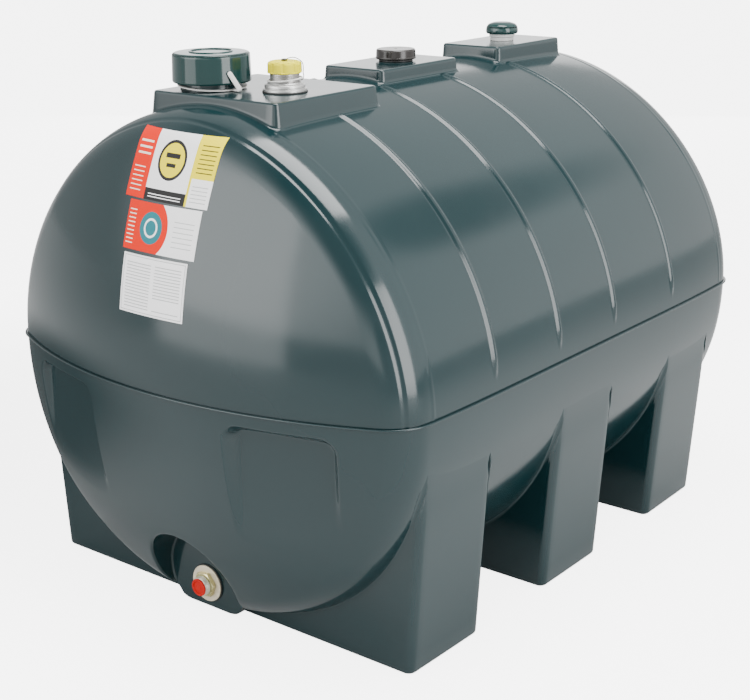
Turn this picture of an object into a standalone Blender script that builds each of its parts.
"""Horizontal kerosene storage tank, moulded in one skin of green plastic.

The tank is an oval barrel with domed ends. It stands on three saddle legs and carries
three raised platforms for its fittings. Metres, +Z up, +X to the right of somebody who
faces the front end, and the front end looks along -Y. The origin is on the floor, under
the middle of the tank.
"""
import bpy
import bmesh
import numpy as np
from math import acos, atan, atan2, cos, pi, radians, sin, sqrt

# The barrel and its ends
HALF_WIDTH = 0.550            # middle of the barrel, from its axis to its side
END_TAPER = 0.0073            # how much narrower the barrel is where its ends begin
TAPER_POWER = 5.1             # how late along the barrel that narrowing comes
JOINT_Y = 0.5985              # where the barrel meets its end pieces
CORNER_RADIUS = 0.100         # rounding between the barrel and a domed end
DOME_RADIUS = 1.134           # radius of the shallow dome
SEAM_HEIGHT = 0.535           # middle plane of the moulding seam, above the floor
CROWN_HEIGHT = 1.072          # top of the barrel, above the floor
TROUGH_HEIGHT = 0.008         # lowest line of the barrel, above the floor
UPPER_FULLNESS = 1.89         # section of the arch: 2 is an ellipse, and more is squarer
LOWER_FULLNESS = 2.145        # section of the trough
WALL = 0.006                  # thickness of the moulded skin
SEAM_THICKNESS = 0.0044       # the flat flange left where the mould halves meet
SEAM_PROUD = 0.006            # how far the flange stands out from the skin
GAP = 0.0003                  # clearance between touching pieces

# Ribs over the upper barrel
RIB_PLACES = (-0.395, -0.157, 0.068, 0.332)
RIB_WIDTH = 0.018
RIB_CREST = 0.008
RIB_HEIGHT = 0.005
RIB_END_ANGLE = 4.4           # degrees above the seam where a rib has run out
RIB_FULL_ANGLE = 8.5
RIB_FADE = 3.0                # degrees over which a rib's top end fades

# Saddle legs
SADDLE_PLACES = (-0.492, -0.019, 0.454)
SADDLE_FOOT_WIDTH = 0.509     # half of the width on the floor, at the middle of the tank
SADDLE_FOOT_DEPTH = 0.1155    # half of the depth on the floor
SADDLE_TOP_WIDTH = 0.543
SADDLE_TOP_DEPTH = 0.1147
SADDLE_TOP_HEIGHT = 0.450     # where a leg has run into the side of the barrel
SADDLE_TAPER = 0.012          # share by which a leg is narrower at the end of the barrel
SADDLE_CORNER = 0.018
SADDLE_FOOT_ROUND = 0.008

# Platforms: name, first and last y of the top, half width of the top, height of the top
PLATFORMS = (
    ("front_platform", -0.578, -0.265, 0.167, 1.083),
    ("middle_platform", -0.143, 0.137, 0.082, 1.094),
    ("rear_platform", 0.302, 0.575, 0.083, 1.101),
)
PLATFORM_DRAFT = 0.010        # how much wider each side is at the foot
PLATFORM_CORNER = 0.010
PLATFORM_EDGE = 0.003

# Hollows in the lower front end
POCKET_INNER = 0.190
POCKET_OUTER = 0.407
POCKET_TOP = 0.500
POCKET_FOOT = 0.300
POCKET_DEPTH = 0.030
OUTLET_RECESS_RADIUS = 0.110  # of the round recess, at the level where it meets the dome
OUTLET_RECESS_DRAFT = 0.10    # how much its radius grows for each metre outwards
OUTLET_RECESS_HEIGHT = 0.089  # of the recess's middle
OUTLET_FACE_Y = -0.649
OUTLET_HEIGHT = 0.068

# Fittings on top: centres
INSPECTION_PLACE = (-0.086, -0.486)
STRAP_RING_RADIUS = 0.0705
STRAP_WIDTH = 0.010
STRAP_THICKNESS = 0.0026
STRAP_LEVEL = 0.0065          # middle of the ring and of the strap's foot, above the platform
STRAP_FOOT_HEADING = -9.0     # degrees
STRAP_FOOT_REACH = 0.0935     # of the strap's bend, from the axis of the neck
STRAP_HEAD_HEADING = -22.0
STRAP_HEAD_REACH = 0.0823
STRAP_HEAD_LEVEL = 0.0405
FILL_PLACE = (0.072, -0.443)
GAUGE_PLACE = (0.0, 0.012)
VENT_PLACE = (0.0, 0.440)

ARC_STEPS = 30                # facets round half of the barrel
TURNED_SIDES = 24             # facets round a turned piece

SHELL_START = SEAM_THICKNESS / 2 + GAP
UPPER_SQUASH = (CROWN_HEIGHT - SEAM_HEIGHT - SHELL_START) / HALF_WIDTH
LOWER_SQUASH = (SEAM_HEIGHT - TROUGH_HEIGHT - SHELL_START) / HALF_WIDTH

# The corner's arc takes over from the barrel at the slope that the barrel has there, and it
# ends where it is tangent to the dome.
CORNER_START = atan(END_TAPER * TAPER_POWER / JOINT_Y)
CORNER_AXIS = HALF_WIDTH - END_TAPER - CORNER_RADIUS * cos(CORNER_START)
CORNER_Y = JOINT_Y - CORNER_RADIUS * sin(CORNER_START)
DOME_CENTRE_Y = CORNER_Y - sqrt((DOME_RADIUS - CORNER_RADIUS) ** 2 - CORNER_AXIS ** 2)
CORNER_END = atan2(CORNER_Y - DOME_CENTRE_Y, CORNER_AXIS)
DOME_EDGE = CORNER_AXIS + CORNER_RADIUS * cos(CORNER_END)


def clear_scene():
    """Remove everything that a new file starts with."""
    for thing in list(bpy.data.objects):
        bpy.data.objects.remove(thing, do_unlink=True)


def material(name, colour, roughness, metallic=0.0):
    """One plain surface finish, made once and then shared."""
    found = bpy.data.materials.get(name)
    if found:
        return found
    made = bpy.data.materials.new(name)
    made.use_nodes = True
    shader = made.node_tree.nodes["Principled BSDF"]
    shader.inputs["Base Color"].default_value = (*colour, 1.0)
    shader.inputs["Roughness"].default_value = roughness
    shader.inputs["Metallic"].default_value = metallic
    return made


def green_plastic():
    return material("green_plastic", (0.055, 0.095, 0.100), 0.32)


def green_cap_plastic():
    return material("green_cap_plastic", (0.040, 0.110, 0.095), 0.25)


def yellow_plastic():
    return material("yellow_plastic", (0.80, 0.74, 0.12), 0.35)


def black_plastic():
    return material("black_plastic", (0.035, 0.033, 0.033), 0.45)


def black_rubber():
    return material("black_rubber", (0.02, 0.02, 0.02), 0.7)


def grey_metal():
    return material("grey_metal", (0.55, 0.55, 0.53), 0.4, 0.9)


def yellow_zinc():
    return material("yellow_zinc", (0.72, 0.66, 0.48), 0.35, 0.9)


def red_plastic():
    return material("red_plastic", (0.70, 0.02, 0.01), 0.35)


def pale_plastic():
    return material("pale_plastic", (0.72, 0.72, 0.70), 0.45)


def label_film():
    return material("label_film", (0.85, 0.85, 0.85), 0.4)


def add_object(name, mesh_data, finish, guide=False):
    """Put a finished bmesh into the scene as one named object."""
    mesh = bpy.data.meshes.new(name)
    mesh_data.to_mesh(mesh)
    mesh_data.free()
    mesh.shade_smooth()
    mesh.set_sharp_from_angle(angle=radians(35))
    made = bpy.data.objects.new(name, mesh)
    bpy.context.scene.collection.objects.link(made)
    if guide:
        made.hide_render = True
        made.display_type = "WIRE"
    else:
        mesh.materials.append(finish)
    return made


def boolean(target, tool, operation):
    """Leave a live Boolean on the target; the tool is a hidden guide."""
    step = target.modifiers.new(tool.name, "BOOLEAN")
    step.operation = operation
    step.solver = "EXACT"
    step.object = tool


def close_and_orient(mesh_data):
    """Merge points that meet, join flat neighbours and turn every face outwards."""
    bmesh.ops.remove_doubles(mesh_data, verts=mesh_data.verts, dist=1e-6)
    bmesh.ops.dissolve_degenerate(mesh_data, edges=mesh_data.edges, dist=1e-6)
    bmesh.ops.recalc_face_normals(mesh_data, faces=mesh_data.faces)


def skin_between(outer, inner):
    """Closed body between two grids of points that have the same rows and columns."""
    made = bmesh.new()
    rows, columns = outer.shape[:2]
    out = [[made.verts.new(point) for point in row] for row in outer]
    ins = [[made.verts.new(point) for point in row] for row in inner]
    for i in range(rows - 1):
        for j in range(columns - 1):
            made.faces.new((out[i][j], out[i + 1][j], out[i + 1][j + 1], out[i][j + 1]))
            made.faces.new((ins[i][j], ins[i][j + 1], ins[i + 1][j + 1], ins[i + 1][j]))
        for j in (0, columns - 1):
            made.faces.new((out[i][j], out[i + 1][j], ins[i + 1][j], ins[i][j]))
    for j in range(columns - 1):
        for i in (0, rows - 1):
            made.faces.new((out[i][j], out[i][j + 1], ins[i][j + 1], ins[i][j]))
    close_and_orient(made)
    return made


def arc_angles(extra=()):
    """Angles over half of the oval: even steps, and the chosen lines in place of near ones."""
    chosen = [value for wanted in extra for value in (wanted, 180.0 - wanted)]
    even = np.linspace(0.0, 180.0, ARC_STEPS + 1)
    kept = [a for a in even if all(abs(a - value) > 2.2 for value in chosen) or a in (0.0, 180.0)]
    return np.radians(sorted(kept + chosen))


def rib_top_angle(place):
    """Angle where a rib runs out, just short of the platform that it starts at."""
    foot = min(PLATFORMS, key=lambda row: abs(place - (row[1] + row[2]) / 2))
    share = (foot[3] + PLATFORM_DRAFT + 0.0035) / HALF_WIDTH
    return np.degrees(acos(share ** (UPPER_FULLNESS / 2)))


def upper_angles():
    """Grid lines of the upper barrel, with lines where the ribs start and run out."""
    tops = [rib_top_angle(place) for place in (RIB_PLACES[0], RIB_PLACES[1])]
    return arc_angles([RIB_END_ANGLE, RIB_FULL_ANGLE] + tops + [top - RIB_FADE for top in tops])


def oval_rows(radii, ys, angles, side, raised=None):
    """Rows of points: at each y a half oval of the given radius, above or below the seam.

    The oval is a superellipse: the cosine and the sine are raised to the same power.
    """
    power = 2 / (UPPER_FULLNESS if side > 0 else LOWER_FULLNESS)
    squash = UPPER_SQUASH if side > 0 else LOWER_SQUASH
    lift = np.zeros((len(radii), len(angles))) if raised is None else raised
    reach = np.asarray(radii)[:, None] + lift
    cosine, sine = np.cos(angles), np.abs(np.sin(angles))
    x = reach * np.sign(cosine) * np.abs(cosine) ** power
    z = SEAM_HEIGHT + side * (SHELL_START + squash * reach * sine ** power)
    y = np.broadcast_to(np.asarray(ys)[:, None], x.shape)
    return np.stack([x, y, z], axis=-1)


def barrel_radius(y):
    return HALF_WIDTH - END_TAPER * (abs(y) / JOINT_Y) ** TAPER_POWER


def barrel_rows():
    """Radii and places along the barrel, closer together where it narrows."""
    last = JOINT_Y - GAP / 2
    ys = np.array((-last, -0.55, -0.48, -0.38, 0.0, 0.38, 0.48, 0.55, last))
    return np.array([barrel_radius(y) for y in ys]), ys


def end_y(radius):
    """How far an end reaches from the middle of the tank, at a distance from its axis."""
    if radius > DOME_EDGE:
        return CORNER_Y + CORNER_RADIUS * sin(acos((radius - CORNER_AXIS) / CORNER_RADIUS))
    return DOME_CENTRE_Y + sqrt(DOME_RADIUS ** 2 - radius ** 2)


def end_profile():
    """Radius and reach of an end, from the barrel joint round the corner to the dome's tip."""
    points = [(barrel_radius(JOINT_Y), JOINT_Y + GAP / 2)]
    for turn in np.linspace(CORNER_START, CORNER_END, 7)[1:]:
        points.append((CORNER_AXIS + CORNER_RADIUS * cos(turn), CORNER_Y + CORNER_RADIUS * sin(turn)))
    for share in (0.80, 0.60, 0.40, 0.20, 0.0):
        radius = DOME_EDGE * share
        points.append((radius, end_y(radius)))
    return np.array(points)


def offset_inwards(profile, distance):
    """Move a profile towards the inside of the tank, keeping its two ends in line."""
    along = np.gradient(profile, axis=0)
    along /= np.linalg.norm(along, axis=1)[:, None]
    moved = profile + distance * np.stack([-along[:, 1], along[:, 0]], axis=1)
    moved[0] = (profile[0, 0] - distance, profile[0, 1])
    moved[-1] = (0.0, profile[-1, 1] - distance)
    return moved


def end_body(profile, inner, facing, side):
    """An end piece between two profiles; facing is -1 at the front, 1 at the rear."""
    angles = arc_angles()
    outside = oval_rows(profile[:, 0], facing * profile[:, 1], angles, side)
    inside = oval_rows(inner[:, 0], facing * inner[:, 1], angles, side)
    return skin_between(outside, inside)


def make_end(name, facing, side):
    profile = end_profile()
    body = end_body(profile, offset_inwards(profile, WALL), facing, side)
    return add_object(name, body, green_plastic())


def make_upper_barrel():
    """The arch of the tank: one skin with four shallow ribs down each side."""
    angles = upper_angles()
    from_side = np.degrees(np.minimum(angles, pi - angles))
    half, crest = RIB_WIDTH / 2, RIB_CREST / 2
    base_radii, base_ys = barrel_rows()
    rows = {y: np.zeros_like(angles) for y in base_ys}
    for place in RIB_PLACES:
        top = rib_top_angle(place)
        ends = (RIB_END_ANGLE, RIB_FULL_ANGLE, top - RIB_FADE, top)
        shape = np.interp(from_side, ends, (0, 1, 1, 0))
        for step, height in ((-half, 0), (-crest, RIB_HEIGHT), (crest, RIB_HEIGHT), (half, 0)):
            rows[place + step] = height * shape
    ys = np.array(sorted(rows))
    radii = np.interp(ys, base_ys, base_radii)
    outside = oval_rows(radii, ys, angles, 1, np.array([rows[y] for y in ys]))
    inside = oval_rows(radii - WALL, ys, angles, 1)
    body = skin_between(outside, inside)
    flat = radians(0.05)
    bmesh.ops.dissolve_limit(body, angle_limit=flat, verts=body.verts, edges=body.edges)
    return add_object("upper_barrel", body, green_plastic())


def make_lower_barrel():
    """The trough that the legs carry, a plain half oval."""
    radii, ys = barrel_rows()
    angles = arc_angles()
    outside = oval_rows(radii, ys, angles, -1)
    inside = oval_rows(radii - WALL, ys, angles, -1)
    return add_object("lower_barrel", skin_between(outside, inside), green_plastic())


def ring_outline(grow):
    """Plan of the seam: barrel and end mirrored to all four quarters, moved outwards."""
    radii, ys = barrel_rows()
    side = np.stack([radii, ys], axis=1)[len(ys) // 2:-1]
    quarter = offset_inwards(np.concatenate([side, end_profile()]), -grow)
    right = np.concatenate([quarter, quarter[-2::-1] * (-1, 1)])
    return np.concatenate([right, -right[1:-1]])


def make_seam():
    """The flat flange where the two mould halves met, all the way round."""
    made = bmesh.new()
    levels = (SEAM_HEIGHT - SEAM_THICKNESS / 2, SEAM_HEIGHT + SEAM_THICKNESS / 2)
    loops = []
    for outline in (ring_outline(SEAM_PROUD), ring_outline(-WALL)):
        for z in levels:
            loops.append([made.verts.new((x, y, z)) for x, y in outline])
    outer_low, outer_high, inner_low, inner_high = loops
    count = len(outer_low)
    for i in range(count):
        j = (i + 1) % count
        for one, other in ((outer_low, outer_high), (outer_high, inner_high),
                           (inner_high, inner_low), (inner_low, outer_low)):
            made.faces.new((one[i], one[j], other[j], other[i]))
    close_and_orient(made)
    return add_object("parting_seam", made, green_plastic())


def rounded_rectangle(half_x, half_y, corner, centre_y, z, steps=3):
    """Points round a rectangle with rounded corners, in a level plane."""
    points = []
    for quarter, (sx, sy) in enumerate(((1, 1), (-1, 1), (-1, -1), (1, -1))):
        for turn in np.linspace(quarter * pi / 2, (quarter + 1) * pi / 2, steps + 1):
            x = sx * (half_x - corner) + corner * cos(turn)
            y = centre_y + sy * (half_y - corner) + corner * sin(turn)
            points.append((x, y, z))
    return points


def stacked(loops):
    """Closed body through level loops that have the same number of points."""
    made = bmesh.new()
    rings = [[made.verts.new(point) for point in loop] for loop in loops]
    count = len(rings[0])
    for low, high in zip(rings, rings[1:]):
        for i in range(count):
            j = (i + 1) % count
            made.faces.new((low[i], low[j], high[j], high[i]))
    made.faces.new(rings[0][::-1])
    made.faces.new(rings[-1])
    close_and_orient(made)
    return made


def make_body_cutter(name, side, angles):
    """Solid half of the tank, a hair larger, that shapes what rests against it."""
    radii, ys = barrel_rows()
    corner = end_profile()[:4]
    radii = np.concatenate([corner[::-1, 0], radii, corner[:, 0]]) + GAP
    ys = np.concatenate([-corner[::-1, 1], ys, corner[:, 1]])
    outside = oval_rows(radii, ys, angles, side)
    axis = outside.copy()
    axis[..., 0] = 0.0
    axis[..., 2] = SEAM_HEIGHT
    outside[..., 2] += side * GAP
    return add_object(name, skin_between(outside, axis), None, guide=True)


def narrowed(loop):
    """A leg's outline follows the barrel, which is narrower towards its ends."""
    return [(x * (1 - SADDLE_TAPER * (y / JOINT_Y) ** 2), y, z) for x, y, z in loop]


def make_saddles(cutter):
    """Three full-width legs, drafted blocks hollowed to the shape of the trough."""
    names = ("front_saddle", "middle_saddle", "rear_saddle")
    for name, place in zip(names, SADDLE_PLACES):
        inset = SADDLE_FOOT_ROUND
        low = (SADDLE_FOOT_WIDTH - inset, SADDLE_FOOT_DEPTH - inset, SADDLE_CORNER - inset / 2)
        loops = [
            rounded_rectangle(*low, place, 0.0),
            rounded_rectangle(low[0] + 0.7 * inset, low[1] + 0.7 * inset, low[2], place, inset * 0.3),
            rounded_rectangle(SADDLE_FOOT_WIDTH, SADDLE_FOOT_DEPTH, SADDLE_CORNER, place, inset),
            rounded_rectangle(SADDLE_TOP_WIDTH, SADDLE_TOP_DEPTH, SADDLE_CORNER, place,
                              SADDLE_TOP_HEIGHT),
        ]
        leg = add_object(name, stacked([narrowed(loop) for loop in loops]), green_plastic())
        boolean(leg, cutter, "DIFFERENCE")


def make_platforms(cutter):
    """Flat-topped bosses on the crown, which give the fittings a level seat."""
    for name, first, last, half_x, top in PLATFORMS:
        middle, half_y = (first + last) / 2, (last - first) / 2
        foot = 0.95
        grow = PLATFORM_DRAFT * (top - foot) / (top - CROWN_HEIGHT + 0.02)
        grow = min(grow, 4 * PLATFORM_DRAFT)
        loops = [
            rounded_rectangle(half_x + grow, half_y + grow, PLATFORM_CORNER, middle, foot),
            rounded_rectangle(half_x, half_y, PLATFORM_CORNER, middle, top - PLATFORM_EDGE),
            rounded_rectangle(half_x - PLATFORM_EDGE, half_y - PLATFORM_EDGE,
                              PLATFORM_CORNER - PLATFORM_EDGE, middle, top),
        ]
        boss = add_object(name, stacked(loops), green_plastic())
        boolean(boss, cutter, "DIFFERENCE")


def turned(profile, place, sides=TURNED_SIDES):
    """Closed body turned about an upright line; the profile is radius and height."""
    made = bmesh.new()
    rings = []
    for radius, z in profile:
        turns = np.linspace(0, 2 * pi, sides, endpoint=False)
        if radius == 0:
            rings.append([made.verts.new((place[0], place[1], z))] * sides)
        else:
            rings.append([made.verts.new((place[0] + radius * cos(t), place[1] + radius * sin(t), z))
                          for t in turns])
    for low, high in zip(rings, rings[1:] + rings[:1]):
        for i in range(sides):
            j = (i + 1) % sides
            corners = []
            for corner in (low[i], low[j], high[j], high[i]):
                if corner not in corners:
                    corners.append(corner)
            if len(corners) > 2:
                made.faces.new(corners)
    close_and_orient(made)
    return made


def turned_piece(name, profile, place, finish, sides=TURNED_SIDES):
    return add_object(name, turned(profile, place, sides), finish)


def make_inspection_fittings():
    """Screw neck with its deep cap, and the strap that keeps the cap to the neck."""
    base = PLATFORMS[0][4] + GAP
    neck_r, cap_r, height = 0.0615, 0.080, 0.059
    skirt_z = base + 0.014
    top_z = skirt_z + height
    roof = 0.006
    neck_top = top_z - roof - GAP
    turned_piece("inspection_neck", [(0, base), (neck_r, base), (neck_r, neck_top), (0, neck_top)],
                 INSPECTION_PLACE, green_cap_plastic())
    turned_piece("inspection_cap",
                 [(neck_r + GAP * 2, skirt_z), (cap_r - 0.001, skirt_z), (cap_r, skirt_z + 0.004),
                  (cap_r - 0.002, top_z - 0.009), (cap_r - 0.009, top_z - 0.001),
                  (0.044, top_z), (0.042, top_z + 0.002), (0, top_z + 0.002),
                  (0, neck_top + GAP), (neck_r + GAP * 2, neck_top + GAP)],
                 INSPECTION_PLACE, green_cap_plastic(), 32)
    ring_in, ring_out = neck_r + GAP, STRAP_RING_RADIUS
    ring_z = base + STRAP_LEVEL - STRAP_THICKNESS / 2
    turned_piece("strap_ring",
                 [(ring_in, ring_z), (ring_out, ring_z), (ring_out, ring_z + STRAP_THICKNESS),
                  (ring_in, ring_z + STRAP_THICKNESS)],
                 INSPECTION_PLACE, pale_plastic())


def round_the_cap(heading, reach, level):
    """Point at a heading in degrees and a distance from the inspection neck's axis."""
    turn = radians(heading)
    return np.array((INSPECTION_PLACE[0] + reach * cos(turn), INSPECTION_PLACE[1] + reach * sin(turn),
                     PLATFORMS[0][4] + GAP + level))


def unit(vector):
    return vector / np.linalg.norm(vector)


def make_strap():
    """Flat strap: out from the ring under the cap's skirt, then up along the cap's side.

    Its three sections are square to the strap at its ends and mitred at its bend.
    """
    heel = round_the_cap(STRAP_FOOT_HEADING, STRAP_RING_RADIUS + GAP, STRAP_LEVEL)
    bend = round_the_cap(STRAP_FOOT_HEADING, STRAP_FOOT_REACH, STRAP_LEVEL)
    head = round_the_cap(STRAP_HEAD_HEADING, STRAP_HEAD_REACH, STRAP_HEAD_LEVEL)
    rise = unit(head - bend)
    out = head - round_the_cap(STRAP_HEAD_HEADING, 0.0, STRAP_HEAD_LEVEL)
    head_deep = unit(out - rise * np.dot(out, rise))
    head_across = np.cross(rise, head_deep)
    heel_deep = np.array((0.0, 0.0, -1.0))
    heel_across = np.cross(unit(bend - heel), heel_deep)
    bend_deep = unit(head_deep + heel_deep)
    bend_deep = bend_deep / np.dot(bend_deep, heel_deep)
    bend_across = unit(head_across + heel_across)
    made = bmesh.new()
    rows = []
    for point, across, deep in ((heel, heel_across, heel_deep), (bend, bend_across, bend_deep),
                                (head, head_across, head_deep)):
        wide, thick = across * STRAP_WIDTH / 2, deep * STRAP_THICKNESS / 2
        rows.append([made.verts.new(tuple(point + shift)) for shift in
                     (-wide - thick, wide - thick, wide + thick, -wide + thick)])
    for low, high in zip(rows, rows[1:]):
        for i in range(4):
            j = (i + 1) % 4
            made.faces.new((low[i], low[j], high[j], high[i]))
    made.faces.new(rows[0])
    made.faces.new(rows[-1])
    bmesh.ops.triangulate(made, faces=made.faces)
    close_and_orient(made)
    add_object("cap_strap", made, pale_plastic())


def ribbed_cap(name, radius, depth, ribs, low_z, high_z, place, finish):
    """Grip cap: a short drum whose side has upright ribs and whose rim is chamfered."""
    loops = []
    for z, shrink in ((low_z, 0.0), (high_z - 0.004, 0.0), (high_z, 0.005)):
        loop = []
        for i in range(ribs * 4):
            turn = 2 * pi * i / (ribs * 4)
            reach = radius - shrink - (depth if i % 4 in (2, 3) else 0.0)
            loop.append((place[0] + reach * cos(turn), place[1] + reach * sin(turn), z))
        loops.append(loop)
    return add_object(name, stacked(loops), finish)


def make_fill_fittings():
    """Fill point: gasket, bolted flange, short pipe, tether ring and yellow grip cap."""
    base = PLATFORMS[0][4] + GAP
    gasket_top = base + 0.002
    turned_piece("fill_gasket", [(0, base), (0.0455, base), (0.0455, gasket_top), (0, gasket_top)],
                 FILL_PLACE, black_rubber())
    flange_z = gasket_top + GAP
    flange_top = flange_z + 0.018
    turned_piece("fill_flange",
                 [(0, flange_z), (0.044, flange_z), (0.044, flange_z + 0.005), (0.038, flange_z + 0.007),
                  (0.038, flange_z + 0.012), (0.033, flange_top), (0, flange_top)],
                 FILL_PLACE, grey_metal())
    pipe_z = flange_top + GAP
    pipe_top = pipe_z + 0.016
    turned_piece("fill_pipe", [(0, pipe_z), (0.0295, pipe_z), (0.0295, pipe_top), (0, pipe_top)],
                 FILL_PLACE, grey_metal())
    ring_z = pipe_z
    turned_piece("fill_tether",
                 [(0.0301, ring_z), (0.0345, ring_z), (0.0350, ring_z + 0.002), (0.0345, ring_z + 0.004),
                  (0.0301, ring_z + 0.004)],
                 FILL_PLACE, pale_plastic())
    cap_z = pipe_top + GAP
    cap_top = cap_z + 0.024
    ribbed_cap("fill_cap", 0.0345, 0.0015, 14, cap_z, cap_top, FILL_PLACE, yellow_plastic())
    clip_z = cap_top + GAP
    turned_piece("fill_cap_pin",
                 [(0, clip_z), (0.006, clip_z), (0.006, clip_z + 0.003), (0, clip_z + 0.004)],
                 FILL_PLACE, black_plastic(), 12)


def make_gauge_and_vent():
    """Blanked gauge boss on the middle platform and the vent mushroom on the rear one."""
    base = PLATFORMS[1][4] + GAP
    turned_piece("gauge_neck", [(0, base), (0.038, base), (0.038, base + 0.004), (0, base + 0.004)],
                 GAUGE_PLACE, black_rubber())
    cap = base + 0.004 + GAP
    turned_piece("gauge_cap",
                 [(0, cap), (0.044, cap), (0.0455, cap + 0.002), (0.0455, cap + 0.019),
                  (0.043, cap + 0.022), (0, cap + 0.022)],
                 GAUGE_PLACE, black_plastic(), 32)
    base = PLATFORMS[2][4] + GAP
    turned_piece("vent_neck",
                 [(0, base), (0.0285, base), (0.0285, base + 0.008), (0.031, base + 0.010),
                  (0.031, base + 0.016), (0, base + 0.016)],
                 VENT_PLACE, pale_plastic())
    hood = base + 0.016 + GAP
    turned_piece("vent_cap",
                 [(0, hood), (0.036, hood), (0.0395, hood + 0.004), (0.0395, hood + 0.012),
                  (0.036, hood + 0.022), (0.028, hood + 0.027), (0, hood + 0.028)],
                 VENT_PLACE, green_cap_plastic())


def laid_forward(body, y):
    """Turn an upright turned body so that its base lies on a wall that faces -Y."""
    for vert in body.verts:
        x, up, out = vert.co.x, vert.co.y, vert.co.z
        vert.co = (x, y - out, OUTLET_HEIGHT + up)
    bmesh.ops.recalc_face_normals(body, faces=body.faces)
    return body


def make_outlet():
    """Bottom outlet: gasket, washer, hexagon, round socket and the red transport plug."""
    face = OUTLET_FACE_Y - GAP
    steps = (
        ("outlet_gasket", 0.0420, 0.0025, TURNED_SIDES, black_rubber()),
        ("outlet_washer", 0.0405, 0.0030, TURNED_SIDES, yellow_zinc()),
        ("outlet_nut", 0.0290, 0.0090, 6, yellow_zinc()),
        ("outlet_socket", 0.0210, 0.0120, TURNED_SIDES, yellow_zinc()),
        ("outlet_plug", 0.0150, 0.0030, 16, red_plastic()),
    )
    out = 0.0
    for name, radius, length, sides, finish in steps:
        chamfer = min(0.001, length / 3)
        profile = [(0, out), (radius, out), (radius, out + length - chamfer),
                   (radius - chamfer, out + length), (0, out + length)]
        body = laid_forward(turned(profile, (0.0, 0.0), sides), face)
        add_object(name, body, finish)
        out += length + GAP


def front_y(x, z):
    """The front end's y over a point of its upper or its lower half."""
    upper = z > SEAM_HEIGHT
    power = UPPER_FULLNESS if upper else LOWER_FULLNESS
    rise = (abs(z - SEAM_HEIGHT) - SHELL_START) / (UPPER_SQUASH if upper else LOWER_SQUASH)
    return -end_y((abs(x) ** power + rise ** power) ** (1 / power))


def make_labels():
    """Three printed labels stuck on the upper front end, one under the other.

    Each has its middle's x and z, its width and its upright height, and its tilt in degrees.
    """
    film, off = 0.0006, GAP
    sheets = (
        ("label_top", 0.010, 0.965, 0.218, 0.127, -1.1),
        ("label_middle", 0.013, 0.852, 0.190, 0.091, -0.6),
        ("label_bottom", 0.009, 0.744, 0.170, 0.112, -0.2),
    )
    for name, x, z, wide, high, tilt in sheets:
        ups, acrosses = np.linspace(-0.5, 0.5, 13), np.linspace(-0.5, 0.5, 9)
        lean = radians(tilt)
        layers = []
        for lift in (off + film, off):
            layer = np.zeros((13, 9, 3))
            for i, v in enumerate(ups):
                for j, u in enumerate(acrosses):
                    px = x + u * wide * cos(lean) - v * high * sin(lean)
                    pz = z + u * wide * sin(lean) + v * high * cos(lean)
                    layer[i, j] = (px, front_y(px, pz) - lift * 1.9, pz)
            layers.append(layer)
        add_object(name, skin_between(*layers), label_film())


def make_pocket_cutter(name, side, grow, top):
    """Wedge that presses a flat-backed pocket into the lower front end."""
    inner, outer = POCKET_INNER - grow, POCKET_OUTER + grow
    y_inner = front_y(POCKET_INNER, POCKET_TOP) + POCKET_DEPTH + grow
    y_outer = front_y(POCKET_OUTER, POCKET_TOP) + POCKET_DEPTH * 0.6 + grow
    loops = []
    for z in (POCKET_FOOT - 0.05, top):
        loop = [(side * inner, -0.90, z), (side * outer, -0.90, z),
                (side * outer, y_outer, z), (side * inner, y_inner, z)]
        loops.append(loop)
    return add_object(name, stacked(loops), None, guide=True)


def make_recess_cutter(name, grow):
    """Round recess with drafted walls, which gives the outlet a flat upright face."""
    made = bmesh.new()
    rings = []
    for y in (-0.90, OUTLET_FACE_Y + grow):
        radius = OUTLET_RECESS_RADIUS + grow + OUTLET_RECESS_DRAFT * (-0.72 - y)
        rings.append([made.verts.new((radius * cos(t), y, OUTLET_RECESS_HEIGHT + radius * sin(t)))
                      for t in np.linspace(0, 2 * pi, 32, endpoint=False)])
    near, far = rings
    for i in range(len(near)):
        j = (i + 1) % len(near)
        made.faces.new((near[i], near[j], far[j], far[i]))
    made.faces.new(near)
    made.faces.new(far)
    close_and_orient(made)
    return add_object(name, made, None, guide=True)


def make_lower_ends():
    """The two lower ends; the front one has two pockets and the outlet recess."""
    make_end("lower_rear_end", 1, -1)
    front = make_end("lower_front_end", -1, -1)
    profile = end_profile()
    axis = profile * (0.0, 1.0)
    solid = add_object("front_end_guide", end_body(profile, axis, -1, -1), None, guide=True)
    linings = [make_recess_cutter("recess_lining", WALL)]
    cutters = [make_recess_cutter("recess_cutter", 0.0)]
    for word, side in (("left", -1), ("right", 1)):
        linings.append(make_pocket_cutter(word + "_pocket_lining", side, WALL, POCKET_TOP + WALL))
        cutters.append(make_pocket_cutter(word + "_pocket_cutter", side, 0.0, POCKET_TOP))
    for lining in linings:
        boolean(lining, solid, "INTERSECT")
        boolean(front, lining, "UNION")
    for cutter in cutters:
        boolean(front, cutter, "DIFFERENCE")


clear_scene()
make_upper_barrel()
make_end("upper_front_end", -1, 1)
make_end("upper_rear_end", 1, 1)
make_lower_barrel()
make_lower_ends()
make_seam()
make_saddles(make_body_cutter("trough_cutter", -1, arc_angles()))
make_platforms(make_body_cutter("arch_cutter", 1, upper_angles()))
make_inspection_fittings()
make_strap()
make_fill_fittings()
make_gauge_and_vent()
make_outlet()
make_labels()
